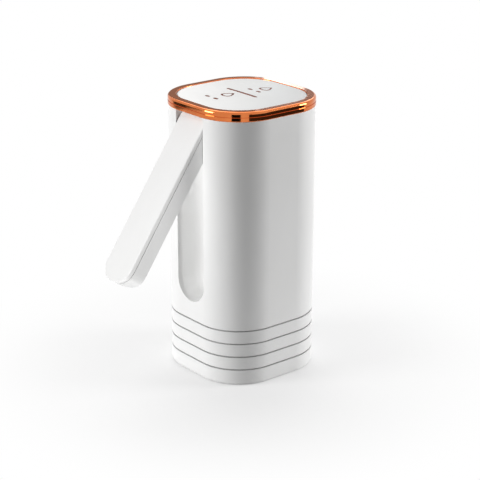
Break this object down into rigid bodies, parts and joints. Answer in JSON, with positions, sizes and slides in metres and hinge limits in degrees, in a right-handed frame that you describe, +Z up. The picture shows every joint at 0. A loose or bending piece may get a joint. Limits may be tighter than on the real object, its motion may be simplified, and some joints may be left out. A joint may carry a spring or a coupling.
{
  "type": "water jug pump",
  "caption": "Electric pump for a water jug: rounded-square body with a grooved neck socket, a metal-look trim ring, a rocking button panel and a spout arm that folds into its side.",
  "frame": {"origin": "centre of the neck socket's mouth, level with the rim that the pump stands on", "axes": "+Z up out of the socket; the spout arm is on the -X face and the charging socket is on the +X face"},
  "size_m": [0.1103, 0.0646, 0.1392],
  "materials": {
    "shell": "glossy white moulding",
    "inner_plastic": "plain white moulding",
    "copper_plating": "rose-gold plating",
    "silicone": "translucent silicone",
    "dark_rubber": "moulded rubber",
    "steel": "plain steel",
    "magnet": "ferrite",
    "armature": "laminated core with copper windings",
    "chassis_plastic": "grey moulding",
    "pump_plastic": "black moulding",
    "acetal": "natural acetal",
    "button_plastic": "grey moulding",
    "cell_wrap": "metal can in printed film",
    "board": "solder mask on glass laminate",
    "brass": "tinned tabs",
    "lead_jacket": "insulated wire"
  },
  "bodies": {
    "housing": {"main_housing": "shell", "arm_bay": "shell", "base_collar": "shell", "socket_plate": "inner_plastic", "neck_gasket": "silicone", "inlet_fitting": "inner_plastic", "inlet_seal": "silicone", "top_frame": "inner_plastic", "trim_ring": "copper_plating", "hinge_axle": "steel", "hinge_elbow": "inner_plastic", "inlet_hose": "silicone", "outlet_hose": "silicone", "chassis": "chassis_plastic", "battery_cell": "cell_wrap", "pump_cover": "pump_plastic", "valve_plate": "acetal", "diaphragm": "dark_rubber", "wobble_plate": "acetal", "pump_case": "pump_plastic", "motor_can": "steel", "motor_magnets": "magnet", "motor_end_cap": "acetal", "motor_terminals": "brass", "control_board": "board", "left_switch": "pump_plastic", "right_switch": "pump_plastic", "charge_board": "board", "usb_socket": "steel", "usb_tongue": "pump_plastic", "base_screws": "steel", "frame_screws": "steel", "board_screws": "steel", "chassis_screws": "steel", "pump_screws": "steel", "motor_leads": "lead_jacket", "battery_leads": "lead_jacket", "charge_leads": "lead_jacket"},
    "arm": {"arm_body": "shell", "arm_cover": "shell", "arm_tube": "steel", "spout_nozzle": "steel", "nozzle_screen": "steel", "hinge_seals": "dark_rubber"},
    "panel": {"button_panel": "shell"},
    "left_key": {"left_button": "button_plastic"},
    "right_key": {"right_button": "button_plastic"},
    "rotor": {"motor_shaft": "steel", "motor_rotor": "armature", "eccentric": "acetal"}
  },
  "joints": [
    {"name": "spout_fold", "type": "hinge", "parent": "housing", "child": "arm", "pos_m": [-0.025, 0, 0.1263], "axis": [0, 1, 0], "range_deg": [-34.8, 55.2]},
    {"name": "panel_rock", "type": "hinge", "parent": "housing", "child": "panel", "pos_m": [0, 0, 0.1338], "axis": [0, 1, 0], "range_deg": [-1.5, 1.5], "stiffness_Nm_per_rad": 0.8},
    {"name": "left_press", "type": "slide", "parent": "housing", "child": "left_key", "axis": [0, 0, 1], "range_m": [-0.00024, 0.00024]},
    {"name": "right_press", "type": "slide", "parent": "housing", "child": "right_key", "axis": [0, 0, 1], "range_m": [-0.00024, 0.00024]},
    {"name": "motor_spin", "type": "hinge", "parent": "housing", "child": "rotor", "pos_m": [0.002, -0.009, 0.095], "axis": [0, 0, 1], "continuous": true}
  ],
  "couplings": [
    {"joint": "left_press", "follows": "panel_rock", "m_per_rad": 0.0084},
    {"joint": "right_press", "follows": "panel_rock", "m_per_rad": -0.0084}
  ]
}
